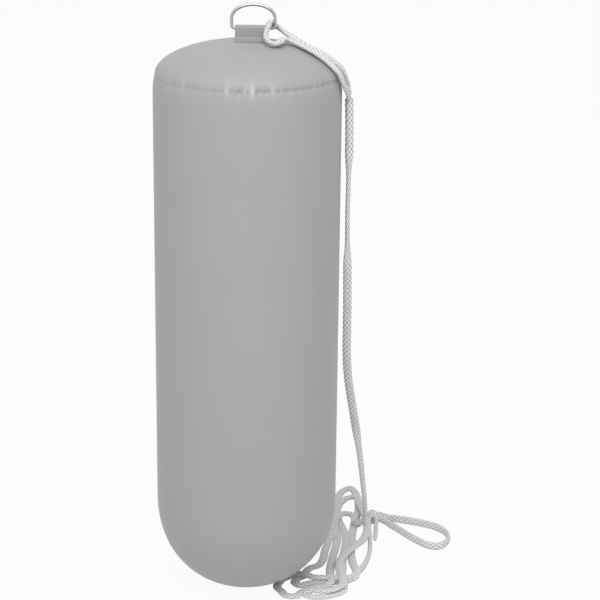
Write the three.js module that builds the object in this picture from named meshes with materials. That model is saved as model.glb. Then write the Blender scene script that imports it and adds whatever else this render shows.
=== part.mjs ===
// Inflated boat fender: a tall PVC envelope with a welded top disc, a webbing tab with a steel
// D-ring, an inflation valve and a braided line with an eye at each end.
// Units are millimetres and +Z is up. The origin is the top of the D-ring's opening, where the
// fender hangs. Inside the group, x and y are measured from the envelope's axis and z from the
// lowest point of the envelope; +X is to the right and -Y is the front.
import * as THREE from "three";

// Envelope
const BODY_RADIUS = 100;
const BOTTOM_DEPTH = 106;
const BOTTOM_FULLNESS = 2.2;
const SEAM_HEIGHT = 580;
const SEAM_RADIUS = 98;
const SHOULDER_LENGTH = 18;
const DOME_RISE = 36;
const SEAM_GROOVE_DEPTH = 1.4;
const SEAM_GROOVE_WIDTH = 2.6;
const GATHER_HEIGHT = 1.5;
const GATHER_REACH = 9;
const GATHER_COUNT = 24;
const GATHER_GROUPS = 6;
const GATHER_TURN = 3.75;
const SEGMENTS_PER_GATHER = 4;
const BOTTOM_STEPS = 8;
const DOME_STEPS = 7;

// Fits between pieces
const CLEARANCE = 0.3;

// Reinforcing patch and tab on the crown
const PATCH_RADIUS = 30;
const PATCH_THICKNESS = 0.8;
const TAB_WIDTH = 32;
const TAB_SHEET = 1.2;
const TAB_FOOT_LENGTH = 14;
const TAB_OFFSET = 2.8;
const TAB_NECK = 7.45;
const TAB_FLARE = 1.6;

// D-ring
const RING_OFFSET = 6;
const RING_WIRE = 3.5;
const RING_INNER_WIDTH = 42;
const RING_LEG = 10.6;
const RING_ARCH_RISE = 14.05;
const RING_CORNER = 3.4;
const RING_STEPS = 64;

// Inflation valve behind the tab
const VALVE_DISTANCE = 58;
const VALVE_FLANGE_RADIUS = 12;
const VALVE_FLANGE_THICKNESS = 1.2;
const VALVE_COLLAR_RADIUS = 7;
const VALVE_COLLAR_HEIGHT = 5;
const VALVE_BORE_RADIUS = 4.2;
const STOPPER_GAP = 0.3;
const STOPPER_HEAD_RADIUS = 6.5;
const STOPPER_HEAD_THICKNESS = 1.6;
const STOPPER_STEM_LENGTH = 4;

// Line
const LINE_DIAMETER = 6.4;
const LINE_SIDES = 8;
const SPLICE_THICKNESS = 8;
const SPLICE_WIDTH = 12.6;
const KNOT_SIZE = [20, 20, 17];
const HANK_FLOOR_GAP = 0.3;
const HANK_HEIGHT = 20;
const HANK_EDGE = 4;

const patchUnderside = DOME_RISE + CLEARANCE;
const footUnderside = patchUnderside + PATCH_THICKNESS + CLEARANCE;
const wireRadius = RING_WIRE / 2;
const channelRadius = wireRadius + CLEARANCE;
const loopRadius = channelRadius + TAB_SHEET;
const barAboveFoot = TAB_SHEET + TAB_NECK + loopRadius;
const barHeight = SEAM_HEIGHT + footUnderside + barAboveFoot;
const ringTopInside = barHeight + RING_LEG + RING_ARCH_RISE - wireRadius;

// Route of the line. Points are chosen by hand, in the group's own coordinates.
const RING_EYE_ROUTE = [
  [107.4, 3.7, 555.4],
  [107.3, 4.2, 562.5],
  [105.5, 1, 572],
  [102.9, -6, 580.6],
  [99.3, -11.7, 588.9],
  [91.8, -15.5, 596.5],
  [81.5, -14.5, 603.6],
  [72, -12, 608.4],
  [64, -8.5, 611.6],
  [56.8, -2.8, 614.6],
  [50.6, 2.6, 617.4],
  [45.4, 6.2, 619.9],
  [40.4, 8.6, 622.6],
  [35.6, 9.6, 626],
  [31, 9, 629.4],
  [27, 6.6, 632.6],
  [24, 3, 634.6],
  [23, -1, 634.9],
  [22.4, -5.2, 633],
  [20.3, -9.4, 628.8],
  [19.4, -13.2, 624.8],
  [20, -19, 621.2],
  [23, -25, 618.9],
  [27.8, -27.8, 617.5],
  [32, -24.6, 617.6],
  [34.4, -17.4, 618.4],
  [37, -10, 618.9],
  [41.5, -5.2, 618.4],
  [47, -5.4, 617],
  [52.5, -8.8, 615.3],
  [58.5, -14, 613.2],
  [66, -20, 610.3],
  [75, -26, 606.1],
  [83, -30, 600.9],
  [90.2, -31.5, 594.6],
  [96.1, -29.8, 587.8],
  [100.4, -24.7, 577.7],
  [103.8, -15.8, 568.4],
  [106.3, -8, 562],
  [107.3, -3.9, 555.6],
];
const SPLICE_ROUTE = [
  [107.6, 0, 554.7],
  [108.3, 0, 528],
  [108.5, 0, 500],
  [108.4, 0, 474],
];
const FALL_ROUTE = [
  [108.4, 0, 473.7],
  [108.3, 0.3, 456],
  [108.1, 1.7, 434],
  [108.3, 4.2, 409],
  [108.8, 8, 382],
  [109.4, 12.6, 354],
  [110, 18.5, 326],
  [110.3, 26, 291],
  [110.8, 35, 257],
  [113.4, 46, 224],
  [118.4, 59, 190],
  [124.4, 74, 152],
  [129.8, 90, 114],
  [134.2, 105, 75],
  [137.4, 116, 45],
  [138.2, 124, 25],
  [135, 130.5, 12.8],
  [129.2, 132.8, 8.5],
];
const STRAND_ROUTE = [
  [125.2, 4, 5],
  [131.6, 15, 4],
  [138.3, 37, 3.6],
  [142.8, 67, 3.6],
  [143.9, 98, 3.6],
  [143.9, 122, 3.6],
  [143.8, 135, 5],
  [144.2, 144, 8.2],
];
const TAIL_ROUTE = [
  [152.5, 145.2, 8.2],
  [151.9, 132, 4.4],
  [151.3, 116, 3.6],
  [150, 101, 3.6],
];
const END_EYE_ROUTE = [
  [155.2, 159.9, 8.5],
  [164, 160.4, 6],
  [174, 158.8, 4.2],
  [185, 155.4, 3.6],
  [198.5, 150, 3.6],
  [212, 143.6, 3.6],
  [224.6, 134.8, 3.6],
  [233.6, 122.4, 3.6],
  [237.3, 106.5, 3.6],
  [233.6, 89.5, 3.6],
  [224, 79, 3.6],
  [212.5, 81.5, 3.6],
  [199.8, 95, 3.6],
  [189, 110.5, 3.6],
  [179.5, 126, 3.6],
  [171, 139, 4.5],
  [163.5, 147.6, 6.8],
  [155.9, 151.9, 8.6],
];
const KNOT_PLACE = [145.7, 154.5, 8.8];
const HANK_OUTLINE = [
  [47, -52],
  [66, -66],
  [90, -64],
  [111, -48],
  [120, -23],
  [122, 9],
  [120, 50],
  [121, 94],
  [126, 128],
  [128, 160],
  [129, 195],
  [129, 236],
  [119, 251],
  [106, 242],
  [97, 190],
  [92, 140],
  [88, 90],
  [85, 42],
  [81, 8],
  [80, -16],
  [68, -38],
];

const pvc = new THREE.MeshStandardMaterial({ color: 0xaeaeae, roughness: 0.45, metalness: 0 });
const pvcTab = new THREE.MeshStandardMaterial({ color: 0xa6a6a6, roughness: 0.5, metalness: 0 });
const steel = new THREE.MeshStandardMaterial({ color: 0xc4c6c8, roughness: 0.22, metalness: 1 });
const valvePlastic = new THREE.MeshStandardMaterial({ color: 0x8f9092, roughness: 0.4, metalness: 0 });
const braid = new THREE.MeshStandardMaterial({ color: 0xf2f2f0, roughness: 0.85, metalness: 0 });

const fender = new THREE.Group();

function add(name, geometry, material) {
  const mesh = new THREE.Mesh(geometry, material);
  mesh.name = name;
  fender.add(mesh);
  return mesh;
}

// Height of the crown above the seam at a distance from the axis: an ellipse from rim to axis.
function crownHeight(distance) {
  return DOME_RISE * Math.sqrt(Math.max(0, 1 - (distance / SEAM_RADIUS) ** 2));
}

// Turns a lathe shape, made round the y axis, so that its axis is vertical.
// The angle 0 of the lathe then faces the front and 90 degrees faces right.
function turned(profile, segments) {
  const geometry = new THREE.LatheGeometry(profile, segments);
  geometry.rotateX(Math.PI / 2);
  return geometry;
}

// The envelope's side from the lowest point to the crown: an ellipse, a straight wall, a shoulder
// that draws in to the seam, and the crown.
function envelopeProfile() {
  const points = [];
  for (let i = 0; i < BOTTOM_STEPS; i++) {
    const angle = (i / BOTTOM_STEPS) * (Math.PI / 2);
    const radius = BODY_RADIUS * Math.sin(angle) ** (2 / BOTTOM_FULLNESS);
    points.push([radius, BOTTOM_DEPTH * (1 - Math.cos(angle) ** (2 / BOTTOM_FULLNESS))]);
  }
  const shoulderStart = SEAM_HEIGHT - SHOULDER_LENGTH;
  points.push([BODY_RADIUS, BOTTOM_DEPTH]);
  for (const part of [0, 0.4, 0.65, 0.82, 0.92, 1]) {
    const radius = BODY_RADIUS - (BODY_RADIUS - SEAM_RADIUS) * part ** 2;
    points.push([radius, shoulderStart + SHOULDER_LENGTH * part]);
  }
  for (const rise of [0.04, 0.12, 0.24, 0.42]) {
    points.push([SEAM_RADIUS * Math.sqrt(1 - rise ** 2), SEAM_HEIGHT + DOME_RISE * rise]);
  }
  const start = Math.asin(0.42);
  for (let i = 1; i <= DOME_STEPS; i++) {
    const angle = start + (i / DOME_STEPS) * (Math.PI / 2 - start);
    const radius = i === DOME_STEPS ? 0 : SEAM_RADIUS * Math.cos(angle);
    points.push([radius, SEAM_HEIGHT + DOME_RISE * Math.sin(angle)]);
  }
  return points.map(([radius, height]) => new THREE.Vector2(radius, height));
}

// The weld pulls the wall in along the seam, and the spare sheet stands up in gathers that fade
// away from it. They come in groups round the rim and are strongest at the front.
function gatheredEnvelope() {
  const geometry = turned(envelopeProfile(), GATHER_COUNT * SEGMENTS_PER_GATHER);
  const position = geometry.attributes.position;
  const turn = THREE.MathUtils.degToRad(GATHER_TURN);
  for (let i = 0; i < position.count; i++) {
    const x = position.getX(i);
    const y = position.getY(i);
    const radius = Math.hypot(x, y);
    const offset = position.getZ(i) - SEAM_HEIGHT;
    if (Math.abs(offset) < SHOULDER_LENGTH && radius > SEAM_RADIUS / 2) {
      const angle = Math.atan2(x, -y);
      const group = 0.5 + 0.5 * Math.cos(GATHER_GROUPS * (angle - turn));
      const side = 0.1 + 0.9 * Math.cos((angle - turn) / 2) ** 10;
      const fade = Math.exp(-Math.abs(offset) / GATHER_REACH) * (1 - Math.abs(offset) / SHOULDER_LENGTH);
      const gather = GATHER_HEIGHT * group * side * fade * Math.cos(GATHER_COUNT * (angle - turn));
      const groove = SEAM_GROOVE_DEPTH * Math.exp(-((offset / SEAM_GROOVE_WIDTH) ** 2));
      const scale = 1 + (gather - groove) / radius;
      position.setXY(i, x * scale, y * scale);
    }
  }
  return geometry;
}

// A disc of sheet that follows the crown, one clearance above it.
function crownPatch() {
  const steps = 8;
  const under = [];
  const over = [];
  for (let i = 0; i <= steps; i++) {
    const radius = (PATCH_RADIUS * i) / steps;
    const height = SEAM_HEIGHT + crownHeight(radius) + CLEARANCE;
    under.push(new THREE.Vector2(radius, height));
    over.unshift(new THREE.Vector2(radius, height + PATCH_THICKNESS));
  }
  return turned([...under, ...over], 36);
}

// A strip folded round the ring's bar. Its layers run straight down, welded into one neck, and its
// two ends turn out as feet that follow the crown. The section lies in the y-z plane and runs
// along x.
function foldedTab() {
  const outline = new THREE.Shape();
  outline.moveTo(-TAB_FOOT_LENGTH, 0);
  for (const part of [-0.5, 0, 0.5, 1]) {
    outline.lineTo(TAB_FOOT_LENGTH * part, 0);
  }
  outline.lineTo(TAB_FOOT_LENGTH, TAB_SHEET);
  outline.lineTo(TAB_FOOT_LENGTH / 2, TAB_SHEET);
  outline.lineTo(loopRadius + TAB_FLARE, TAB_SHEET);
  outline.quadraticCurveTo(loopRadius, TAB_SHEET, loopRadius, TAB_SHEET + TAB_FLARE);
  outline.lineTo(loopRadius, barAboveFoot);
  outline.absarc(0, barAboveFoot, loopRadius, 0, Math.PI, false);
  outline.lineTo(-loopRadius, TAB_SHEET + TAB_FLARE);
  outline.quadraticCurveTo(-loopRadius, TAB_SHEET, -loopRadius - TAB_FLARE, TAB_SHEET);
  outline.lineTo(-TAB_FOOT_LENGTH / 2, TAB_SHEET);
  outline.lineTo(-TAB_FOOT_LENGTH, TAB_SHEET);
  outline.closePath();
  const channel = new THREE.Path();
  channel.absarc(0, barAboveFoot, channelRadius, 0, 2 * Math.PI, true);
  outline.holes.push(channel);
  const geometry = new THREE.ExtrudeGeometry(outline, {
    depth: TAB_WIDTH,
    steps: 6,
    bevelEnabled: false,
    curveSegments: 8,
  });
  const toY = new THREE.Vector3(0, 1, 0);
  const toZ = new THREE.Vector3(0, 0, 1);
  const toX = new THREE.Vector3(1, 0, 0);
  geometry.applyMatrix4(new THREE.Matrix4().makeBasis(toY, toZ, toX));
  geometry.translate(TAB_OFFSET - TAB_WIDTH / 2, 0, 0);
  const position = geometry.attributes.position;
  for (let i = 0; i < position.count; i++) {
    const height = position.getZ(i);
    const distance = Math.hypot(position.getX(i), position.getY(i));
    const drop = DOME_RISE - crownHeight(distance);
    const follow = height <= TAB_SHEET + 0.01 ? 1 : 0;
    position.setZ(i, height - drop * follow + SEAM_HEIGHT + footUnderside);
  }
  return geometry;
}

// A half-oval dee: a straight bar with rounded corners, two short legs and an elliptical arch.
function deeRing() {
  const halfWidth = RING_INNER_WIDTH / 2 + wireRadius;
  const outline = new THREE.Path();
  outline.moveTo(-halfWidth + RING_CORNER, 0);
  outline.lineTo(halfWidth - RING_CORNER, 0);
  outline.absarc(halfWidth - RING_CORNER, RING_CORNER, RING_CORNER, -Math.PI / 2, 0, false);
  outline.lineTo(halfWidth, RING_LEG);
  outline.absellipse(0, RING_LEG, halfWidth, RING_ARCH_RISE, 0, Math.PI, false, 0);
  outline.lineTo(-halfWidth, RING_CORNER);
  outline.absarc(-halfWidth + RING_CORNER, RING_CORNER, RING_CORNER, Math.PI, 1.5 * Math.PI, false);
  const points = outline.getSpacedPoints(RING_STEPS);
  points.pop();
  const line = new THREE.CatmullRomCurve3(
    points.map((point) => new THREE.Vector3(point.x, 0, point.y)),
    true,
    "centripetal",
  );
  const geometry = new THREE.TubeGeometry(line, RING_STEPS, wireRadius, 8, true);
  geometry.translate(RING_OFFSET, 0, barHeight);
  return geometry;
}

// A regular polygon or oval section for a line: across in x, along in y.
function ovalSection(width, thickness) {
  const points = [];
  for (let i = 0; i < LINE_SIDES; i++) {
    const angle = ((i + 0.5) / LINE_SIDES) * 2 * Math.PI;
    points.push(new THREE.Vector2((width / 2) * Math.cos(angle), (thickness / 2) * Math.sin(angle)));
  }
  return new THREE.Shape(points);
}

function lineAlong(route, steps, width = LINE_DIAMETER, thickness = LINE_DIAMETER) {
  const points = route.map(([x, y, z]) => new THREE.Vector3(x, y, z));
  const curve = new THREE.CatmullRomCurve3(points, false, "centripetal");
  return new THREE.ExtrudeGeometry(ovalSection(width, thickness), {
    steps,
    extrudePath: curve,
    bevelEnabled: false,
  });
}

// The heap of line that lies beside the fender, as one low solid of its outline with a rounded edge.
function hankSolid() {
  const points = HANK_OUTLINE.map(([x, y]) => new THREE.Vector3(x, y, 0));
  const edge = new THREE.CatmullRomCurve3(points, true, "centripetal").getPoints(48);
  edge.pop();
  const outline = new THREE.Shape(edge.map((point) => new THREE.Vector2(point.x, point.y)));
  const geometry = new THREE.ExtrudeGeometry(outline, {
    depth: HANK_HEIGHT - 2 * HANK_EDGE,
    bevelEnabled: true,
    bevelThickness: HANK_EDGE,
    bevelSize: HANK_EDGE,
    bevelOffset: -HANK_EDGE,
    bevelSegments: 2,
  });
  geometry.translate(0, 0, HANK_EDGE + HANK_FLOOR_GAP);
  return geometry;
}

// Flange with a collar and a blind bore, on the crown behind the tab, square to the sheet there.
function valveBase() {
  const floor = VALVE_FLANGE_THICKNESS;
  const top = VALVE_FLANGE_THICKNESS + VALVE_COLLAR_HEIGHT;
  const profile = [
    [0, 0],
    [VALVE_FLANGE_RADIUS, 0],
    [VALVE_FLANGE_RADIUS, VALVE_FLANGE_THICKNESS * 0.6],
    [VALVE_COLLAR_RADIUS + 1, VALVE_FLANGE_THICKNESS],
    [VALVE_COLLAR_RADIUS, VALVE_FLANGE_THICKNESS + 1],
    [VALVE_COLLAR_RADIUS, top],
    [VALVE_BORE_RADIUS, top],
    [VALVE_BORE_RADIUS, floor],
    [0, floor],
  ];
  return turned(profile.map(([radius, height]) => new THREE.Vector2(radius, height)), 24);
}

function valveStopper() {
  const seat = VALVE_FLANGE_THICKNESS + VALVE_COLLAR_HEIGHT + STOPPER_GAP;
  const stem = VALVE_BORE_RADIUS - STOPPER_GAP;
  const profile = [
    [0, seat - STOPPER_GAP - STOPPER_STEM_LENGTH],
    [stem, seat - STOPPER_GAP - STOPPER_STEM_LENGTH],
    [stem, seat],
    [STOPPER_HEAD_RADIUS, seat],
    [STOPPER_HEAD_RADIUS, seat + STOPPER_HEAD_THICKNESS * 0.6],
    [STOPPER_HEAD_RADIUS - 1, seat + STOPPER_HEAD_THICKNESS],
    [0, seat + STOPPER_HEAD_THICKNESS],
  ];
  return turned(profile.map(([radius, height]) => new THREE.Vector2(radius, height)), 24);
}

function seatOnCrown(mesh) {
  const shrink = Math.sqrt(1 - (VALVE_DISTANCE / SEAM_RADIUS) ** 2);
  const slope = (DOME_RISE / SEAM_RADIUS) * (VALVE_DISTANCE / SEAM_RADIUS / shrink);
  const lean = Math.atan(slope);
  const lift = CLEARANCE + VALVE_FLANGE_THICKNESS / 10;
  mesh.rotation.x = -lean;
  mesh.position.set(
    0,
    VALVE_DISTANCE + lift * Math.sin(lean),
    SEAM_HEIGHT + crownHeight(VALVE_DISTANCE) + lift * Math.cos(lean),
  );
}

function knotLump() {
  const geometry = new THREE.IcosahedronGeometry(0.5, 2);
  geometry.scale(...KNOT_SIZE);
  geometry.translate(...KNOT_PLACE);
  return geometry;
}

add("inflated_envelope", gatheredEnvelope(), pvc);
add("crown_patch", crownPatch(), pvcTab);
add("ring_tab", foldedTab(), pvcTab);
add("d_ring", deeRing(), steel);
seatOnCrown(add("valve_base", valveBase(), valvePlastic));
seatOnCrown(add("valve_stopper", valveStopper(), valvePlastic));
add("line_ring_eye", lineAlong(RING_EYE_ROUTE, 34), braid);
add("line_splice", lineAlong(SPLICE_ROUTE, 4, SPLICE_THICKNESS, SPLICE_WIDTH), braid);
add("line_fall", lineAlong(FALL_ROUTE, 22), braid);
add("line_hank", hankSolid(), braid);
add("line_strand", lineAlong(STRAND_ROUTE, 10), braid);
add("line_knot", knotLump(), braid);
add("line_end_eye", lineAlong(END_EYE_ROUTE, 18), braid);
add("line_tail", lineAlong(TAIL_ROUTE, 4), braid);

fender.position.set(-RING_OFFSET, 0, -ringTopInside);

const group = new THREE.Group();
group.add(fender);

export default group;
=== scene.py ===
"""Looks of an inflated boat fender with a steel D-ring, a valve and a white braided line.

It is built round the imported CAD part. Sizes are in metres. Places on the fender are measured from
the envelope's axis and from the floor under it: +X to the right, -Y to the front, +Z up.
"""

import math

import bpy
import numpy as np
from mathutils import Matrix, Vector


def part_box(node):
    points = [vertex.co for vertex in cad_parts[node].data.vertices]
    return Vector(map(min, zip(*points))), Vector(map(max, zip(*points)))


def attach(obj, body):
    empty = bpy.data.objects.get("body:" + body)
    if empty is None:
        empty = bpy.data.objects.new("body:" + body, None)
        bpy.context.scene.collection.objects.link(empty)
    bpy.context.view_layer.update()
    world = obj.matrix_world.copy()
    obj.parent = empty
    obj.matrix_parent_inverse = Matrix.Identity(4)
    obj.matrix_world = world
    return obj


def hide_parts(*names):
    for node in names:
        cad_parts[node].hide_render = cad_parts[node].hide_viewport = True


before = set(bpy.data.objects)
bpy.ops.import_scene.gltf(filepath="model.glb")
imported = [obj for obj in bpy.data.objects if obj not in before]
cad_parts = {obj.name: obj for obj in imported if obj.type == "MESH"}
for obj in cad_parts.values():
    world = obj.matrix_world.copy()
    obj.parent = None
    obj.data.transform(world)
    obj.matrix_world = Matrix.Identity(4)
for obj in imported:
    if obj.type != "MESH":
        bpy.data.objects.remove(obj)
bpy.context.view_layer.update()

envelope_low, envelope_high = (np.array(corner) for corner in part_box("inflated_envelope"))
ORIGIN = np.array([(envelope_low[0] + envelope_high[0]) / 2, 0.0, envelope_low[2]])
UP = np.array([0.0, 0.0, 1.0])

# Envelope, as in the part's source
BODY_RADIUS = (envelope_high[0] - envelope_low[0]) / 2
BOTTOM_DEPTH = 0.106
BOTTOM_FULLNESS = 2.2
SEAM_HEIGHT = 0.580
SEAM_RADIUS = 0.098
SHOULDER_LENGTH = 0.018
DOME_RISE = envelope_high[2] - envelope_low[2] - SEAM_HEIGHT
SEAM_GROOVE_DEPTH = 0.0008
SEAM_GROOVE_WIDTH = 0.0026
SEAM_SHADE_WIDTH = 0.0012
# Height of a crest at which its painted highlight is full
HIGHLIGHT_FULL_HEIGHT = 0.0024
GATHER_HEIGHT = 0.0017
GATHER_REACH = 0.009
GATHER_COUNT = 24
GATHER_GROUPS = 6
GATHER_TURN = math.radians(3.75)
PUCKER_HEIGHT = 0.0011
PUCKER_COUNT = 61

# Patch, tab and D-ring on the crown
PATCH_RADIUS = 0.030
PATCH_THICKNESS = 0.0008
PATCH_RIM = 0.008
FIT_GAP = 0.0003
TAB_WIDTH = 0.032
TAB_SHEET = 0.0012
TAB_FOOT_LENGTH = 0.014
TAB_OFFSET = 0.0028
TAB_NECK = 0.00745
TAB_FLARE = 0.0016
TAB_END_TAPER = 0.007
RING_OFFSET = 0.006
RING_WIRE = 0.0035
RING_INNER_WIDTH = 0.042
RING_LEG = 0.0106
RING_ARCH_RISE = 0.01405
RING_CORNER = 0.0034
FOOT_UNDERSIDE = SEAM_HEIGHT + DOME_RISE + 2 * FIT_GAP + PATCH_THICKNESS
TAB_LOOP_RADIUS = RING_WIRE / 2 + FIT_GAP + TAB_SHEET
BAR_HEIGHT = FOOT_UNDERSIDE + TAB_SHEET + TAB_NECK + TAB_LOOP_RADIUS

# Valve on the back of the crown
VALVE_DISTANCE = 0.058
VALVE_BORE_RADIUS = 0.0042
STOPPER_GAP = 0.0003
STOPPER_HEAD_RADIUS = 0.0065
STOPPER_NOTCHES = 18

# Line: a flat hollow braid, and the swollen stretch where its end is buried in itself
BRAID_WIDTH = 0.0090
BRAID_THICKNESS = 0.0046
BRAID_PLAITS = 6
BRAID_PITCH = 0.0062
BRAID_RELIEF = 0.0005
BRAID_STEP = 0.0012
BRAID_SIDES = 28
SPLICE_WIDTH = 0.0126
SPLICE_THICKNESS = 0.0084
SPLICE_LENGTH = 0.080
MELTED_LENGTH = 0.004
MAIN_LINE_LENGTH = 2.45
RING_EYE_LENGTH = 0.32
END_EYE_LENGTH = 0.26
TAIL_LENGTH = 0.056

# Routes of the line, the same points as in the part's source, and the turns inside its heap
RING_EYE_ROUTE = [
    (0.1074, 0.0037, 0.5554), (0.1073, 0.0042, 0.5625), (0.1055, 0.0010, 0.5720),
    (0.1029, -0.0060, 0.5806), (0.0993, -0.0117, 0.5889), (0.0918, -0.0155, 0.5965),
    (0.0815, -0.0145, 0.6036), (0.0720, -0.0120, 0.6084), (0.0640, -0.0085, 0.6116),
    (0.0568, -0.0028, 0.6146), (0.0506, 0.0026, 0.6174), (0.0454, 0.0062, 0.6199),
    (0.0404, 0.0086, 0.6226), (0.0356, 0.0096, 0.6260), (0.0310, 0.0090, 0.6294),
    (0.0270, 0.0066, 0.6326), (0.0240, 0.0030, 0.6346), (0.0230, -0.0010, 0.6349),
    (0.0224, -0.0052, 0.6330), (0.0203, -0.0094, 0.6288), (0.0194, -0.0132, 0.6248),
    (0.0200, -0.0190, 0.6212), (0.0230, -0.0250, 0.6189), (0.0278, -0.0278, 0.6175),
    (0.0320, -0.0246, 0.6176), (0.0344, -0.0174, 0.6184), (0.0370, -0.0100, 0.6189),
    (0.0415, -0.0052, 0.6184), (0.0470, -0.0054, 0.6170), (0.0525, -0.0088, 0.6153),
    (0.0585, -0.0140, 0.6132), (0.0660, -0.0200, 0.6103), (0.0750, -0.0260, 0.6061),
    (0.0830, -0.0300, 0.6009), (0.0902, -0.0315, 0.5946), (0.0961, -0.0298, 0.5878),
    (0.1004, -0.0247, 0.5777), (0.1038, -0.0158, 0.5684), (0.1063, -0.0080, 0.5620),
    (0.1073, -0.0039, 0.5556),
]
SPLICE_ROUTE = [
    (0.1076, 0.0000, 0.5547), (0.1083, 0.0000, 0.5280), (0.1085, 0.0000, 0.5000),
    (0.1084, 0.0000, 0.4740),
]
FALL_ROUTE = [
    (0.1084, 0.0000, 0.4737), (0.1083, 0.0003, 0.4560), (0.1081, 0.0017, 0.4340),
    (0.1083, 0.0042, 0.4090), (0.1088, 0.0080, 0.3820), (0.1094, 0.0126, 0.3540),
    (0.1100, 0.0185, 0.3260), (0.1103, 0.0260, 0.2910), (0.1108, 0.0350, 0.2570),
    (0.1134, 0.0460, 0.2240), (0.1184, 0.0590, 0.1900), (0.1244, 0.0740, 0.1520),
    (0.1298, 0.0900, 0.1140), (0.1342, 0.1050, 0.0750), (0.1374, 0.1160, 0.0450),
    (0.1382, 0.1240, 0.0250), (0.1350, 0.1305, 0.0128), (0.1292, 0.1328, 0.0085),
]
HEAP_ROUTE = [
    (0.1233, 0.1609, 0.0088), (0.1136, 0.1647, 0.0084), (0.1055, 0.1517, 0.0080),
    (0.1013, 0.1284, 0.0064), (0.0980, 0.1132, 0.0040), (0.0937, 0.0894, 0.0030),
    (0.0897, 0.0639, 0.0030), (0.0872, 0.0418, 0.0030), (0.0808, 0.0253, 0.0030),
    (0.0735, 0.0202, 0.0030), (0.0684, 0.0110, 0.0030), (0.0651, -0.0018, 0.0030),
    (0.0583, -0.0099, 0.0030), (0.0549, -0.0191, 0.0030), (0.0600, -0.0263, 0.0030),
    (0.0713, -0.0213, 0.0030), (0.0838, -0.0166, 0.0030), (0.0974, -0.0172, 0.0032),
    (0.1110, -0.0151, 0.0036), (0.1213, -0.0100, 0.0044), (0.1256, 0.0036, 0.0055),
    (0.1226, 0.0234, 0.0056), (0.1208, 0.0461, 0.0052), (0.1208, 0.0696, 0.0046),
    (0.1220, 0.0937, 0.0040), (0.1237, 0.1206, 0.0036), (0.1267, 0.1473, 0.0036),
    (0.1310, 0.1746, 0.0036), (0.1330, 0.1993, 0.0036), (0.1322, 0.2229, 0.0036),
    (0.1290, 0.2443, 0.0036), (0.1229, 0.2562, 0.0034), (0.1158, 0.2491, 0.0032),
    (0.1087, 0.2312, 0.0032), (0.1032, 0.2026, 0.0032), (0.1003, 0.1686, 0.0032),
    (0.1026, 0.1327, 0.0032), (0.1052, 0.1036, 0.0032), (0.1030, 0.0774, 0.0034),
    (0.0994, 0.0518, 0.0036), (0.0965, 0.0254, 0.0044), (0.0953, 0.0018, 0.0060),
    (0.0967, -0.0191, 0.0078), (0.0932, -0.0343, 0.0076), (0.0836, -0.0359, 0.0048),
    (0.0730, -0.0362, 0.0036), (0.0635, -0.0434, 0.0030), (0.0557, -0.0545, 0.0030),
    (0.0473, -0.0539, 0.0030), (0.0405, -0.0422, 0.0028), (0.0353, -0.0295, 0.0028),
    (0.0380, -0.0190, 0.0028), (0.0410, -0.0110, 0.0028), (0.0490, -0.0050, 0.0036),
    (0.0580, -0.0030, 0.0065), (0.0670, -0.0080, 0.0078), (0.0760, -0.0140, 0.0076),
    (0.0880, -0.0150, 0.0076), (0.1000, -0.0140, 0.0078), (0.1080, -0.0210, 0.0070),
    (0.1100, -0.0310, 0.0056), (0.1094, -0.0405, 0.0040), (0.1003, -0.0489, 0.0030),
    (0.0869, -0.0550, 0.0030), (0.0741, -0.0553, 0.0030), (0.0668, -0.0487, 0.0034),
    (0.0729, -0.0446, 0.0058), (0.0852, -0.0489, 0.0074), (0.0975, -0.0482, 0.0088),
    (0.1082, -0.0390, 0.0100), (0.1080, -0.0177, 0.0110), (0.1053, 0.0034, 0.0116),
    (0.1079, 0.0242, 0.0120), (0.1152, 0.0435, 0.0120), (0.1240, 0.0613, 0.0116),
    (0.1333, 0.0806, 0.0100), (0.1393, 0.1045, 0.0084), (0.1412, 0.1274, 0.0086),
    (0.1399, 0.1467, 0.0106), (0.1375, 0.1700, 0.0110), (0.1333, 0.1947, 0.0096),
    (0.1275, 0.2197, 0.0072), (0.1198, 0.2204, 0.0052), (0.1116, 0.2085, 0.0044),
    (0.1066, 0.1889, 0.0038), (0.1065, 0.1627, 0.0032), (0.1102, 0.1403, 0.0032),
    (0.1144, 0.1184, 0.0032), (0.1154, 0.0948, 0.0034), (0.1135, 0.0712, 0.0038),
    (0.1110, 0.0471, 0.0046), (0.1099, 0.0201, 0.0070), (0.1105, -0.0051, 0.0088),
    (0.1147, -0.0221, 0.0088), (0.1200, -0.0134, 0.0066),
]
STRAND_ROUTE = [
    (0.1252, 0.0040, 0.0050), (0.1316, 0.0150, 0.0040), (0.1383, 0.0370, 0.0036),
    (0.1428, 0.0670, 0.0036), (0.1439, 0.0980, 0.0036), (0.1439, 0.1220, 0.0036),
    (0.1438, 0.1350, 0.0050), (0.1442, 0.1440, 0.0082),
]
TAIL_ROUTE = [
    (0.1525, 0.1452, 0.0082), (0.1519, 0.1320, 0.0044), (0.1513, 0.1160, 0.0036),
    (0.1500, 0.1010, 0.0036),
]
END_EYE_ROUTE = [
    (0.1552, 0.1599, 0.0085), (0.1640, 0.1604, 0.0060), (0.1740, 0.1588, 0.0042),
    (0.1850, 0.1554, 0.0036), (0.1985, 0.1500, 0.0036), (0.2120, 0.1436, 0.0036),
    (0.2246, 0.1348, 0.0036), (0.2336, 0.1224, 0.0036), (0.2373, 0.1065, 0.0036),
    (0.2336, 0.0895, 0.0036), (0.2240, 0.0790, 0.0036), (0.2125, 0.0815, 0.0036),
    (0.1998, 0.0950, 0.0036), (0.1890, 0.1105, 0.0036), (0.1795, 0.1260, 0.0036),
    (0.1710, 0.1390, 0.0045), (0.1635, 0.1476, 0.0068), (0.1559, 0.1519, 0.0086),
]
KNOT_PLACE = (0.1457, 0.1545, 0.0088)
IN_KNOT_FROM_STRAND = (0.1450, 0.1500, 0.0088)
IN_KNOT_TO_TAIL = (0.1497, 0.1525, 0.0088)
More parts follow.
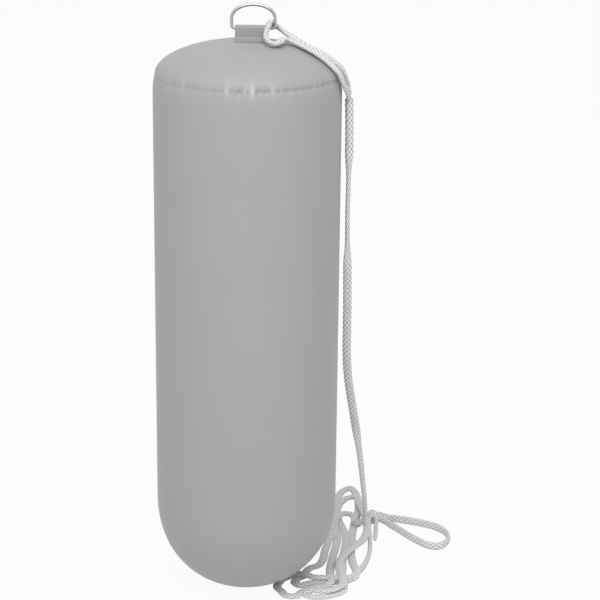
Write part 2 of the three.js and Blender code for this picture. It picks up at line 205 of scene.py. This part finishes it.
IN_KNOT_TO_EYE = (0.1492, 0.1575, 0.0088)
IN_KNOT_FROM_EYE = (0.1502, 0.1535, 0.0088)

# The way the flat side faces, at distances along the line
RING_EYE_FACING = [
    (0.000, (1, 0, 0)), (0.020, (0.95, 0, 0.3)), (0.040, (0.8, -0.1, 0.5)), (0.065, (0.4, 0, 0.9)),
    (0.100, (0.3, 0, 1)), (0.127, (0, 0.3, 1)), (0.137, (-0.3, 0, 1)), (0.146, (-1, 0, 0.5)),
    (0.158, (-1, 0, 0)), (0.172, (-0.7, -0.3, -0.7)), (0.183, (0, -0.3, -1)), (0.198, (0.2, 0, -1)),
    (0.226, (-0.2, 0, -1)), (0.247, (-0.4, 0.1, -0.9)), (0.267, (-0.7, 0.2, -0.6)),
    (0.289, (-0.95, 0.2, -0.3)), (0.312, (-1, 0, 0)), (0.330, (-1, 0, 0)),
]
MAIN_LINE_FACING = [
    (0.000, (1, 0, 0)), (0.150, (1, 0, 0)), (0.195, (0, -1, 0)), (0.405, (0, -1, 0)),
    (0.440, (0.8, -0.6, 0)), (0.560, (1, -0.2, 0.2)), (0.600, (0, 0, 1)), (2.235, (0, 0, 1)),
    (2.275, (1, 0, 0)), (2.450, (1, 0, 0)),
]
TAIL_FACING = [(0.0, (1, 0, 0)), (0.1, (1, 0, 0))]


# Camera: the photograph's viewpoint, from a fit to the envelope's outline

CAMERA_PLACE = (0.05780, -2.042, 0.96705)
CAMERA_PITCH = math.radians(17.28)
CAMERA_ROLL = math.radians(0.6)
CAMERA_LENS = 117.6

camera = bpy.data.objects.new("camera", bpy.data.cameras.new("camera"))
camera.data.lens = CAMERA_LENS
camera.matrix_world = (
    Matrix.Translation(ORIGIN + CAMERA_PLACE)
    @ Matrix.Rotation(math.pi / 2 - CAMERA_PITCH, 4, "X")
    @ Matrix.Rotation(CAMERA_ROLL, 4, "Z")
)
bpy.context.collection.objects.link(camera)
bpy.context.scene.camera = camera


# Making surfaces

def unit(vectors):
    """Vectors of the same directions and of length 1."""
    return vectors / np.linalg.norm(vectors, axis=-1, keepdims=True)


def closed_skin(name, grid, looped=False, crease=None, **values):
    """A closed mesh over rings of points, an array of rings by sides by 3.

    Neighbouring rings are joined by quads. The last ring joins the first where the shape is looped,
    and otherwise each end is closed by a fan round the mean of its ring. The faces are turned
    outwards by the sign of the enclosed volume, the sum of a . (b x c) / 6 over triangles.
    crease is the angle from which an edge stays sharp, and values are numbers for each point,
    kept as attributes for the materials.
    """
    rings, sides = grid.shape[:2]
    index = np.arange(rings * sides).reshape(rings, sides)
    points = grid.reshape(-1, 3)
    here, onward = (index, np.roll(index, -1, 0)) if looped else (index[:-1], index[1:])
    quads = np.stack([here, np.roll(here, -1, 1), np.roll(onward, -1, 1), onward], -1)
    quads = quads.reshape(-1, 4)
    fans = np.empty((0, 3), int)
    if not looped:
        first, last = index[0], index[-1]
        start = np.full(sides, rings * sides)
        fans = np.vstack([
            np.stack([start, np.roll(first, -1), first], -1),
            np.stack([start + 1, last, np.roll(last, -1)], -1),
        ])
        points = np.vstack([points, grid[0].mean(0), grid[-1].mean(0)])
    triangles = np.vstack([quads[:, :3], quads[:, [0, 2, 3]], fans])
    a, b, c = np.moveaxis((points - points.mean(0))[triangles], 1, 0)
    if np.einsum("ij,ij", a, np.cross(b, c)) < 0:
        quads, fans = quads[:, ::-1], fans[:, ::-1]
    mesh = bpy.data.meshes.new(name)
    mesh.from_pydata((points + ORIGIN).tolist(), [], quads.tolist() + fans.tolist())
    for key, numbers in values.items():
        numbers = np.broadcast_to(numbers, (rings, sides)).ravel()
        if not looped:
            numbers = np.append(numbers, [numbers[0], numbers[-1]])
        layer = mesh.attributes.new(key, "FLOAT", "POINT")
        layer.data.foreach_set("value", numbers.astype(np.float32))
    mesh.shade_smooth()
    if crease:
        mesh.set_sharp_from_angle(angle=crease)
    made = bpy.data.objects.new(name, mesh)
    bpy.context.collection.objects.link(made)
    return made


def turned(profile, sides):
    """Rings of a profile of (radius, height) turned about the upright axis.

    A point is (radius sin u, -radius cos u, height), so that u = 0 faces the front.
    """
    radius, height = np.asarray(profile, float).T[:, :, None]
    u = np.linspace(0, 2 * np.pi, sides, endpoint=False)
    return np.stack([radius * np.sin(u), -radius * np.cos(u), height + 0 * u], -1)


def rounded(corners, bevel, steps=4):
    """A profile of (radius, height) corners, each cut back by bevel and rounded.

    Each inner corner becomes a quadratic curve from one side to the next, with the corner as its
    middle handle.
    """
    corners = np.asarray(corners, float)
    before, corner, after = corners[:-2], corners[1:-1], corners[2:]
    reach = np.minimum(bevel, 0.45 * np.linalg.norm(before - corner, axis=1))[:, None]
    leave = np.minimum(bevel, 0.45 * np.linalg.norm(after - corner, axis=1))[:, None]
    start = corner + unit(before - corner) * reach
    end = corner + unit(after - corner) * leave
    t = np.linspace(0, 1, steps)[:, None, None]
    curves = (1 - t) ** 2 * start + 2 * t * (1 - t) * corner + t**2 * end
    return np.vstack([corners[:1], np.swapaxes(curves, 0, 1).reshape(-1, 2), corners[-1:]])


def curve_through(points, step):
    """Even steps along a smooth line through points.

    Between two points runs the cubic with the line's slope at both. The slope at a point is the
    mean of the chords beside it, weighted by their lengths.
    """
    points = np.asarray(points, float)
    knots = np.append(0, np.cumsum(np.linalg.norm(np.diff(points, axis=0), axis=1)))
    slopes = np.gradient(points, knots, axis=0)
    at = np.linspace(0, knots[-1], 4 * int(knots[-1] / step))
    i = np.clip(np.searchsorted(knots, at, side="right") - 1, 0, len(knots) - 2)
    span = (knots[i + 1] - knots[i])[:, None]
    t = (at - knots[i])[:, None] / span
    fine = (
        (1 + 2 * t) * (1 - t) ** 2 * points[i]
        + t * (1 - t) ** 2 * span * slopes[i]
        + t**2 * (3 - 2 * t) * points[i + 1]
        + t**2 * (t - 1) * span * slopes[i + 1]
    )
    walked = np.append(0, np.cumsum(np.linalg.norm(np.diff(fine, axis=0), axis=1)))
    even = np.linspace(0, walked[-1], int(walked[-1] / step) + 1)
    return np.stack([np.interp(even, walked, fine[:, axis]) for axis in range(3)], -1)


def carried(section, line, across, out):
    """Rings of a section carried along a line: line + across * x + out * y.

    section is sides by 2, or rings by sides by 2 where it changes along the line.
    """
    section = np.broadcast_to(section, (len(line), *section.shape[-2:]))
    return line[:, None] + across[:, None] * section[..., :1] + out[:, None] * section[..., 1:]


def braid_height(distance, around):
    """Height of a braid's plaits, from 0 in a groove to 1 on a crest.

    Two families of ridges run round the line in opposite directions, with the phases
    p = plaits around + distance / pitch and q = plaits around - distance / pitch. Each is
    sin squared, and a chequer of sin(pi p) sin(pi q) says which of them lies on top.
    """
    p = BRAID_PLAITS * around + distance / BRAID_PITCH
    q = BRAID_PLAITS * around - distance / BRAID_PITCH
    over = 0.5 + 0.5 * np.sin(np.pi * p) * np.sin(np.pi * q)
    return np.maximum(over * np.sin(np.pi * p) ** 2, (1 - over) * np.sin(np.pi * q) ** 2)


def braided_line(name, route, facing=None, splice=False, melted=False):
    """A flat hollow braid along a route: an oval section with plaits standing on it.

    Its flat side faces the interpolated directions in facing, made square to the line, or without
    them lies upright on its edge. It is lifted to rest on the floor where the oval would dip
    into it. The section is (width / 2 + plait) cos u, (thickness / 2 + plait) sin u.
    """
    line = curve_through(route, BRAID_STEP)
    distance = np.linspace(0, BRAID_STEP * (len(line) - 1), len(line))
    along = unit(np.gradient(line, axis=0))
    if facing:
        wanted = np.array([direction for _, direction in facing], float)
        places = [place for place, _ in facing]
        wanted = np.stack([np.interp(distance, places, wanted[:, k]) for k in range(3)], -1)
        out = unit(wanted - (wanted * along).sum(1, keepdims=True) * along)
    else:
        out = unit(np.cross(along, UP))
    across = np.cross(out, along)
    swell = np.zeros(len(line))
    if splice:
        swell = 1 - np.clip((distance - 0.75 * SPLICE_LENGTH) / (0.25 * SPLICE_LENGTH), 0, 1)
    half_width = (BRAID_WIDTH + (SPLICE_WIDTH - BRAID_WIDTH) * swell) / 2
    half_thickness = (BRAID_THICKNESS + (SPLICE_THICKNESS - BRAID_THICKNESS) * swell) / 2
    if melted:
        left = np.clip((distance[-1] - distance) / MELTED_LENGTH, 0.02, 1)
        half_width = half_width * (1 - (1 - left) ** 2) ** 0.5
        half_thickness = half_thickness * (1 - (1 - left) ** 2) ** 0.5
    reach = np.hypot(half_width * across[:, 2], half_thickness * out[:, 2])
    line[:, 2] = np.maximum(line[:, 2], reach + BRAID_RELIEF)
    around = np.linspace(0, 1, BRAID_SIDES, endpoint=False)
    plait = braid_height(distance[:, None], around)
    u = 2 * np.pi * around
    section = np.stack([
        (half_width[:, None] + BRAID_RELIEF * plait) * np.cos(u),
        (half_thickness[:, None] + BRAID_RELIEF * plait) * np.sin(u),
    ], -1)
    grid = carried(section, line, across, out)
    made = closed_skin(name, grid, plait=plait, distance=distance[:, None], around=around)
    return made, line


# Cords

def declare_line(made, line, length, far_end, lay, nodes, **more):
    """Attaches a braided piece to the fender's body, in place of its nodes, which it hides."""
    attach(made, "fender")
    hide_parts(*nodes)


def knot_lump():
    """The knot: the braid wound in a trefoil about an upright axis, drawn tight.

    The line is ((R + r cos 3t) cos 2t, (R + r cos 3t) sin 2t, h sin 3t), and its round section
    lies square to it.
    """
    ring_radius, wave, rise, thickness = 0.0047, 0.0024, 0.0044, 0.0029
    t = np.linspace(0, 2 * np.pi, 120, endpoint=False)
    spread = ring_radius + wave * np.cos(3 * t)
    line = np.stack([spread * np.cos(2 * t), spread * np.sin(2 * t), rise * np.sin(3 * t)], -1)
    along = unit(np.roll(line, -1, 0) - np.roll(line, 1, 0))
    across = unit(np.cross(along, line * (1, 1, 0)))
    out = np.cross(along, across)
    distance = np.append(0, np.cumsum(np.linalg.norm(np.diff(line, axis=0), axis=1)))
    around = np.linspace(0, 1, 20, endpoint=False)
    plait = braid_height(distance[:, None], around)
    radius = thickness + 0.0004 * plait
    u = 2 * np.pi * around
    section = np.stack([radius * np.cos(u), radius * np.sin(u)], -1)
    grid = carried(section, line, across, out) + KNOT_PLACE
    return closed_skin("knot_of_braid", grid, looped=True, plait=plait,
                       distance=distance[:, None], around=around)


knot = knot_lump()
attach(knot, "fender")
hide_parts("line_knot")

ring_eye, ring_eye_line = braided_line("eye_round_ring", RING_EYE_ROUTE, RING_EYE_FACING)
declare_line(ring_eye, ring_eye_line, RING_EYE_LENGTH, "object", "loose", ["line_ring_eye"])

main_route = SPLICE_ROUTE + FALL_ROUTE[1:] + HEAP_ROUTE + STRAND_ROUTE + [IN_KNOT_FROM_STRAND]
main_line, main_line_line = braided_line("main_line", main_route, MAIN_LINE_FACING, splice=True)
declare_line(main_line, main_line_line, MAIN_LINE_LENGTH, "knot", "hanging",
             ["line_splice", "line_fall", "line_hank", "line_strand"], with_pieces=[knot])

end_eye, end_eye_line = braided_line(
    "eye_at_end", [IN_KNOT_TO_EYE, *END_EYE_ROUTE, IN_KNOT_FROM_EYE])
declare_line(end_eye, end_eye_line, END_EYE_LENGTH, "object", "loose", ["line_end_eye"])

tail, tail_line = braided_line(
    "tail_of_knot", [IN_KNOT_TO_TAIL, *TAIL_ROUTE], TAIL_FACING, melted=True)
declare_line(tail, tail_line, TAIL_LENGTH, "bare", "loose", ["line_tail"])


# Materials

def linear(colour):
    """An sRGB hex value as linear red, green, blue and a full alpha."""
    channels = np.array([int(colour[i:i + 2], 16) for i in (1, 3, 5)]) / 255
    low, high = channels / 12.92, ((channels + 0.055) / 1.055) ** 2.4
    return (*np.where(channels <= 0.04045, low, high), 1.0)


def add_node(tree, kind, inputs=(), **settings):
    """Adds a shader node, with its settings and with its inputs set or linked by name or number."""
    made = tree.nodes.new("ShaderNode" + kind)
    for key, value in settings.items():
        setattr(made, key, value)
    for key, value in dict(inputs).items():
        if isinstance(value, bpy.types.NodeSocket):
            tree.links.new(value, made.inputs[key])
        else:
            made.inputs[key].default_value = value
    return made


def material(name, shader_inputs):
    """A new material of one Principled shader; returns it, its tree and the shader."""
    made = bpy.data.materials.new(name)
    made.use_nodes = True
    tree = made.node_tree
    tree.nodes.clear()
    shader = add_node(tree, "BsdfPrincipled", shader_inputs)
    add_node(tree, "OutputMaterial", {"Surface": shader.outputs[0]})
    return made, tree, shader


def blend_colours(tree, factor, first, second):
    """A colour between two, by a factor from 0 to 1; returns the colour's socket."""
    return add_node(tree, "Mix", {0: factor, 6: first, 7: second}, data_type="RGBA").outputs[2]


def calendered_pvc(name, colour, shade, grain_strength):
    """Calendered PVC sheet: a soft satin with a fine leathery grain and hardly any mottle.

    The grain is 1.2 mm across, coarser than the real one so that it shows at all.
    """
    made, tree, shader = material(name, {"Roughness": 0.5, "IOR": 1.52, "Specular IOR Level": 0.35})
    place = add_node(tree, "TexCoord").outputs["Object"]
    mottle = add_node(tree, "TexNoise", {"Vector": place, "Scale": 14.0, "Detail": 3.0})
    # Painted shade: the seam attribute darkens the sheet towards #7d7d7d in the weld groove.
    seam = add_node(tree, "Attribute", attribute_name="seam").outputs["Fac"]
    sheet = blend_colours(tree, mottle.outputs[0], linear(colour), linear(shade))
    # Painted highlight: the sheet is lightened towards #d2d2d2 on the crests of the gathers and puckers.
    worn = add_node(tree, "Attribute", attribute_name="worn").outputs["Fac"]
    faint = add_node(tree, "Math", {0: seam, 1: 0.22}, operation="MULTIPLY").outputs[0]
    with_seam_shade = blend_colours(tree, faint, sheet, linear("#7d7d7d"))
    with_painted_highlight = blend_colours(tree, worn, with_seam_shade, linear("#d2d2d2"))
    tree.links.new(with_painted_highlight, shader.inputs["Base Color"])
    sheen = add_node(tree, "MapRange", {"Value": mottle.outputs[0], 3: 0.46, 4: 0.54})
    tree.links.new(sheen.outputs[0], shader.inputs["Roughness"])
    grain = add_node(tree, "TexNoise", {"Vector": place, "Scale": 830.0, "Detail": 2.0})
    bump = add_node(tree, "Bump", {"Height": grain.outputs[0], "Strength": grain_strength,
                                   "Distance": 0.0002})
    tree.links.new(bump.outputs[0], shader.inputs["Normal"])
    return made


def polished_steel_wire():
    """Electropolished stainless wire: bright, with faint drawing marks along the bend."""
    made, tree, shader = material("polished_stainless_wire", {"Metallic": 1.0, "Roughness": 0.2})
    place = add_node(tree, "TexCoord").outputs["Object"]
    marks = add_node(tree, "TexNoise", {"Vector": place, "Scale": 600.0, "Detail": 4.0})
    colour = blend_colours(tree, marks.outputs[0], linear("#a9abad"), linear("#c0c2c3"))
    tree.links.new(colour, shader.inputs["Base Color"])
    rough = add_node(tree, "MapRange", {"Value": marks.outputs[0], 3: 0.14, 4: 0.3})
    tree.links.new(rough.outputs[0], shader.inputs["Roughness"])
    return made


def moulded_valve_plastic():
    """Injection-moulded flexible PVC: an even grey with a spark-eroded matt of 0.6 mm."""
    made, tree, shader = material("moulded_flexible_pvc", {"Roughness": 0.42, "IOR": 1.52})
    place = add_node(tree, "TexCoord").outputs["Object"]
    texture = add_node(tree, "TexNoise", {"Vector": place, "Scale": 1600.0, "Detail": 1.0})
    colour = blend_colours(tree, texture.outputs[0], linear("#8c8d8f"), linear("#949597"))
    tree.links.new(colour, shader.inputs["Base Color"])
    bump = add_node(tree, "Bump", {"Height": texture.outputs[0], "Strength": 0.25,
                                   "Distance": 0.0001})
    tree.links.new(bump.outputs[0], shader.inputs["Normal"])
    return made


def polyester_braid():
    """Hollow braid of white polyester yarn: matt crests, painted shade in the grooves, fine yarns on top.
    """
    made, tree, shader = material("white_polyester_braid", {
        "Roughness": 0.85, "IOR": 1.5, "Specular IOR Level": 0.25,
        "Sheen Weight": 0.12, "Sheen Roughness": 0.5,
    })
    plait = add_node(tree, "Attribute", attribute_name="plait").outputs["Fac"]
    place = add_node(tree, "TexCoord").outputs["Object"]
    yarn = add_node(tree, "TexNoise", {"Vector": place, "Scale": 900.0, "Detail": 3.0})
    # Painted shade: the grooves between the plaits are darkened towards #989896.
    depth = add_node(tree, "MapRange", {"Value": plait, 1: 0.04, 2: 0.52, 3: 0.0, 4: 1.0})
    crest = blend_colours(tree, yarn.outputs[0], linear("#f0f0ee"), linear("#ffffff"))
    colour = blend_colours(tree, depth.outputs[0], linear("#989896"), crest)
    tree.links.new(colour, shader.inputs["Base Color"])
    bump = add_node(tree, "Bump", {"Height": yarn.outputs[0], "Strength": 0.5,
                                   "Distance": 0.0003})
    tree.links.new(bump.outputs[0], shader.inputs["Normal"])
    return made


sheet_pvc = calendered_pvc("grey_pvc_sheet", "#acacac", "#b1b1b1", 0.12)
tab_pvc = calendered_pvc("grey_pvc_strip", "#a2a2a2", "#a8a8a8", 0.3)
steel = polished_steel_wire()
valve_plastic = moulded_valve_plastic()
braid = polyester_braid()
for piece in (knot, ring_eye, main_line, end_eye, tail):
    piece.data.materials.append(braid)


def fit(made, body, finish, node):
    """Gives a piece its body, finish and material slot, and lets it stand for its CAD node."""
    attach(made, body)
    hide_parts(node)
    made.data.materials.append(finish)


# Envelope

def crown_height(distance):
    """Height of the crown above the seam: an ellipse from the rim to the axis."""
    return DOME_RISE * np.sqrt(np.clip(1 - (distance / SEAM_RADIUS) ** 2, 0, 1))


def envelope():
    """The bag of sheet: a full bottom, a straight wall, a shoulder and an elliptical crown, turned.

    The bottom's profile is a superellipse, (r / radius)^n + ((depth - z) / depth)^n = 1.

    At the weld the wall is drawn in by a groove exp(-(offset / width)^2). Gathers
    group * side * fade * cos(24 u) stand beside it, and finer puckers cos(61 u + bend) ride on
    them, where fade falls off from the weld, group gathers them in six places round the rim and
    side is most at the front. The groove is deepest on the right.
    """
    bottom = np.linspace(0.01, np.pi / 2 - 1e-6, 36)
    part = np.linspace(0, 1, 34)[1:]
    rise = np.linspace(0, np.pi / 2 - 0.01, 62)[1:]
    rise = np.pi / 2 * (rise / rise[-1]) ** 1.35 * 0.995
    wall = np.linspace(BOTTOM_DEPTH, SEAM_HEIGHT - SHOULDER_LENGTH, 13)[1:]
    radius = np.concatenate([
        BODY_RADIUS * np.sin(bottom) ** (2 / BOTTOM_FULLNESS),
        np.full(len(wall), BODY_RADIUS),
        BODY_RADIUS - (BODY_RADIUS - SEAM_RADIUS) * part**2,
        SEAM_RADIUS * np.cos(rise),
    ])
    height = np.concatenate([
        BOTTOM_DEPTH * (1 - np.cos(bottom) ** (2 / BOTTOM_FULLNESS)),
        wall,
        SEAM_HEIGHT - SHOULDER_LENGTH * (1 - part),
        SEAM_HEIGHT + DOME_RISE * np.sin(rise),
    ])
    sides = 600
    grid = turned(np.stack([radius, height], -1), sides)
    u = np.linspace(0, 2 * np.pi, sides, endpoint=False)
    offset = (height - SEAM_HEIGHT)[:, None]
    near = np.clip(1 - np.abs(offset) / SHOULDER_LENGTH, 0, 1) * (radius[:, None] > SEAM_RADIUS / 2)
    group = 0.5 + 0.5 * np.cos(GATHER_GROUPS * (u - GATHER_TURN))
    side = 0.1 + 0.9 * np.cos((u - GATHER_TURN) / 2) ** 10
    fade = near * np.exp(-np.abs(offset) / GATHER_REACH)
    gather = GATHER_HEIGHT * group * side * fade * np.cos(GATHER_COUNT * (u - GATHER_TURN))
    bend = 1.3 * np.sin(3 * u) + 0.9 * np.sin(7 * u + 1)
    ripple = np.cos(PUCKER_COUNT * u + bend)
    pucker = PUCKER_HEIGHT * (0.25 + 0.75 * group) * side * fade**1.5 * ripple
    drawn = 0.3 + 0.7 * np.clip(2 * np.sin(u), 0, 1)
    groove = SEAM_GROOVE_DEPTH * drawn * np.exp(-((offset / SEAM_GROOVE_WIDTH) ** 2)) * (near > 0)
    scale = 1 + (gather + pucker - groove) / radius[:, None]
    grid[..., :2] *= scale[..., None]
    # Painted shade in the weld groove: a thin dark line, strongest on the right where the groove is
    # deepest.
    seam = drawn * np.exp(-((offset / SEAM_SHADE_WIDTH) ** 2)) * (near > 0)
    # Painted highlight on the crests of the gathers and puckers, lighter the higher they stand.
    worn = np.clip((gather + 1.2 * pucker) / HIGHLIGHT_FULL_HEIGHT, 0, 1)
    return closed_skin("envelope_of_sheet", grid, seam=seam, worn=worn)


fit(envelope(), "fender", sheet_pvc, "inflated_envelope")


# Patch and tab

def crown_patch():
    """A disc of sheet that follows the crown, its rim pressed thin by the weld, turned.

    Its height over the crown falls as 1 - 0.9 t^2 over the outer 8 mm.
    """
    distance = np.append(np.linspace(0.0005, 0.024, 12), np.linspace(0.0245, PATCH_RADIUS, 18))
    pressed = np.clip((distance - PATCH_RADIUS + PATCH_RIM) / PATCH_RIM, 0, 1)
    top = (FIT_GAP + PATCH_THICKNESS) * (1 - 0.9 * pressed**2)
    under = SEAM_HEIGHT + crown_height(distance) - 0.0001
    profile = np.vstack([
        np.stack([distance, under], -1),
        np.stack([distance, under + top], -1)[::-1],
    ])
    return closed_skin("patch_on_crown", turned(profile, 160), crease=1.2)


def folded_tab():
    """The strip folded round the ring's bar, with its two ends turned out as feet.

    Its middle line, in the y-z plane, runs along one foot, up to the bar, round it, down and
    along the other foot. A rounded oblong section is carried along it, across in x, thinner
    towards the ends of the feet, and the feet then drop with the crown under them.
    """
    middle = TAB_SHEET / 2
    loop = TAB_LOOP_RADIUS - middle
    bar = TAB_SHEET + TAB_NECK + TAB_LOOP_RADIUS
    turn = np.linspace(0, np.pi, 36)
    bend = TAB_FLARE + middle
    flare = np.linspace(0, np.pi / 2, 8)[1:]
    foot = np.linspace(TAB_FOOT_LENGTH, loop + bend, 12)
    rise = np.linspace(middle + bend, bar, 8)[1:-1]
    side = np.vstack([
        np.stack([foot, 0 * foot + middle], -1),
        np.stack([loop + bend - bend * np.sin(flare), middle + bend - bend * np.cos(flare)], -1),
        np.stack([0 * rise + loop, rise], -1),
    ])
    over = np.stack([loop * np.cos(turn), bar + loop * np.sin(turn)], -1)
    outline = np.vstack([side, over, side[::-1] * (-1, 1)])
    step = 0.0004
    line = curve_through(np.column_stack([np.zeros(len(outline)), outline]), step)
    along = unit(np.gradient(line, axis=0))
    across = np.broadcast_to((1.0, 0.0, 0.0), line.shape)
    out = np.cross(across, along)
    u = np.linspace(0, 2 * np.pi, 72, endpoint=False)
    from_end = np.minimum(np.arange(len(line)), np.arange(len(line))[::-1]) * step
    thin = np.clip(0.3 + 0.7 * from_end / TAB_END_TAPER, 0, 1)[:, None]
    oblong_x = np.sign(np.cos(u)) * np.abs(np.cos(u)) ** 0.12 * TAB_WIDTH / 2
    oblong_y = np.sign(np.sin(u)) * np.abs(np.sin(u)) ** 0.6 * TAB_SHEET / 2
    section = np.stack([oblong_x + 0 * thin, oblong_y * thin], -1)
    grid = carried(section, line, across, out)
    grid[..., 0] += TAB_OFFSET
    low = np.clip(1 - (grid[..., 2] - TAB_SHEET) / TAB_NECK, 0, 1)
    drop = DOME_RISE - crown_height(np.hypot(grid[..., 0], grid[..., 1]))
    sink = (1 - thin) * TAB_SHEET / 2
    grid[..., 2] += FOOT_UNDERSIDE - drop * low - sink
    return closed_skin("folded_ring_tab", grid)


fit(crown_patch(), "fender", sheet_pvc, "crown_patch")
fit(folded_tab(), "fender", tab_pvc, "ring_tab")


# D-ring

def dee_ring():
    """A half-oval dee of round wire: bar, two corners, two legs and an elliptical arch."""
    half = RING_INNER_WIDTH / 2 + RING_WIRE / 2
    arch = np.linspace(0, np.pi, 90)
    corner = np.linspace(0, np.pi / 2, 10)
    inner = half - RING_CORNER
    outline = np.vstack([
        np.stack([inner + RING_CORNER * np.sin(corner), RING_CORNER - RING_CORNER * np.cos(corner)], -1),
        np.stack([half * np.cos(arch), RING_LEG + RING_ARCH_RISE * np.sin(arch)], -1),
        np.stack([-inner - RING_CORNER * np.cos(corner), RING_CORNER - RING_CORNER * np.sin(corner)], -1),
    ])
    closed = np.vstack([outline, outline[:1]])
    walked = np.append(0, np.cumsum(np.linalg.norm(np.diff(closed, axis=0), axis=1)))
    even = np.linspace(0, walked[-1], 300, endpoint=False)
    x, z = (np.interp(even, walked, closed[:, axis]) for axis in (0, 1))
    line = np.stack([x, 0 * x, z], -1)
    along = unit(np.roll(line, -2, 0) - np.roll(line, 2, 0))
    across = np.broadcast_to((0.0, 1.0, 0.0), line.shape)
    u = np.linspace(0, 2 * np.pi, 28, endpoint=False)
    section = RING_WIRE / 2 * np.stack([np.cos(u), np.sin(u)], -1)
    grid = carried(section, line, across, np.cross(along, across))
    return closed_skin("dee_of_steel_wire", grid + (RING_OFFSET, 0, BAR_HEIGHT), looped=True)


fit(dee_ring(), "ring", steel, "d_ring")


# Valve

def seated_on_crown(grid):
    """Rings made about the upright axis, leant to stand square on the crown behind the tab."""
    share = VALVE_DISTANCE / SEAM_RADIUS
    lean = math.atan(DOME_RISE / SEAM_RADIUS * share / math.sqrt(1 - share**2))
    y = grid[..., 1] * math.cos(lean) + grid[..., 2] * math.sin(lean)
    z = grid[..., 2] * math.cos(lean) - grid[..., 1] * math.sin(lean)
    foot = SEAM_HEIGHT + crown_height(VALVE_DISTANCE)
    lift = FIT_GAP + 0.00012
    return np.stack([
        grid[..., 0],
        VALVE_DISTANCE + lift * math.sin(lean) + y,
        foot + lift * math.cos(lean) + z,
    ], -1)


def valve_base():
    """Flange, collar and blind bore, turned from a profile with rounded corners."""
    profile = rounded([
        (0.0002, 0), (0.012, 0), (0.012, 0.0007), (0.008, 0.0012), (0.007, 0.0022), (0.007, 0.0062),
        (VALVE_BORE_RADIUS, 0.0062), (VALVE_BORE_RADIUS, 0.0012), (0.0002, 0.0012),
    ], 0.0005)
    return closed_skin("valve_collar", seated_on_crown(turned(profile, 96)), crease=0.9)


def valve_stopper():
    """A push-in plug: stem, head with eighteen finger notches and a dished top, turned."""
    seat = 0.0065
    stem = VALVE_BORE_RADIUS - STOPPER_GAP
    profile = rounded([
        (0.0002, seat - 0.0043), (stem, seat - 0.0043), (stem, seat), (STOPPER_HEAD_RADIUS, seat),
        (STOPPER_HEAD_RADIUS, seat + 0.0012), (0.0056, seat + 0.0016), (0.0036, seat + 0.0016),
        (0.0030, seat + 0.0011), (0.0002, seat + 0.0011),
    ], 0.0004)
    grid = turned(profile, 144)
    u = np.linspace(0, 2 * np.pi, 144, endpoint=False)
    rim = np.clip((profile[:, 0] - 0.0056) / (STOPPER_HEAD_RADIUS - 0.0056), 0, 1)[:, None]
    grid[..., :2] *= (1 - 0.05 * rim * (0.5 + 0.5 * np.cos(STOPPER_NOTCHES * u)))[..., None]
    return closed_skin("valve_plug", seated_on_crown(grid), crease=0.9)


fit(valve_base(), "fender", valve_plastic, "valve_base")
fit(valve_stopper(), "stopper", valve_plastic, "valve_stopper")


# Studio: white backdrop, pale floor that keeps a faint shadow, soft light from above and in front

def seen_directly(tree):
    """1 for what the camera, a reflection or a see-through surface sees, 0 for lighting rays."""
    path = add_node(tree, "LightPath").outputs
    mirrored = add_node(tree, "Math", {0: path["Is Camera Ray"], 1: path["Is Glossy Ray"]},
                        operation="MAXIMUM").outputs[0]
    return add_node(tree, "Math", {0: mirrored, 1: path["Is Transmission Ray"]},
                    operation="MAXIMUM").outputs[0]


AMBIENT_STRENGTH = 0.55
SOFTBOX_POWER = 23.0
FLOOR_SHADOW_SHARE = 0.06

world = bpy.data.worlds.new("studio")
bpy.context.scene.world = world
world.use_nodes = True
sky = world.node_tree
sky.nodes.clear()
ambient = add_node(sky, "Background", {"Color": linear("#ffffff"), "Strength": AMBIENT_STRENGTH})
backdrop = add_node(sky, "Background", {"Color": linear("#ffffff"), "Strength": 1.0})
mixed = add_node(sky, "MixShader", {0: seen_directly(sky), 1: ambient.outputs[0],
                                    2: backdrop.outputs[0]})
add_node(sky, "OutputWorld", {"Surface": mixed.outputs[0]})

softbox = bpy.data.objects.new("softbox", bpy.data.lights.new("softbox", "AREA"))
softbox.data.shape = "RECTANGLE"
softbox.data.size = 1.8
softbox.data.size_y = 1.2
softbox.data.energy = SOFTBOX_POWER
softbox.matrix_world = (
    Matrix.Translation(ORIGIN + (0.0, -1.3, 2.0)) @ Matrix.Rotation(math.radians(38), 4, "X")
)
bpy.context.collection.objects.link(softbox)

floor_mesh = bpy.data.meshes.new("studio_floor")
floor_mesh.from_pydata(
    [(x + ORIGIN[0], y, ORIGIN[2] - 0.0002) for x, y in ((-60, -60), (60, -60), (60, 60), (-60, 60))],
    [], [(0, 1, 2, 3)],
)
floor = bpy.data.objects.new("studio_floor", floor_mesh)
bpy.context.collection.objects.link(floor)
paper = bpy.data.materials.new("white_paper_sweep")
paper.use_nodes = True
paper_tree = paper.node_tree
paper_tree.nodes.clear()
lit = add_node(paper_tree, "BsdfDiffuse", {"Color": linear("#f4f4f4")})
glow = add_node(paper_tree, "Emission", {"Color": linear("#ffffff"), "Strength": 1.0})
share = add_node(paper_tree, "Math", {0: seen_directly(paper_tree), 1: 1 - FLOOR_SHADOW_SHARE},
                 operation="MULTIPLY")
paper_mix = add_node(paper_tree, "MixShader", {0: share.outputs[0], 1: lit.outputs[0],
                                               2: glow.outputs[0]})
add_node(paper_tree, "OutputMaterial", {"Surface": paper_mix.outputs[0]})
floor_mesh.materials.append(paper)

bpy.context.scene.view_settings.view_transform = "Standard"
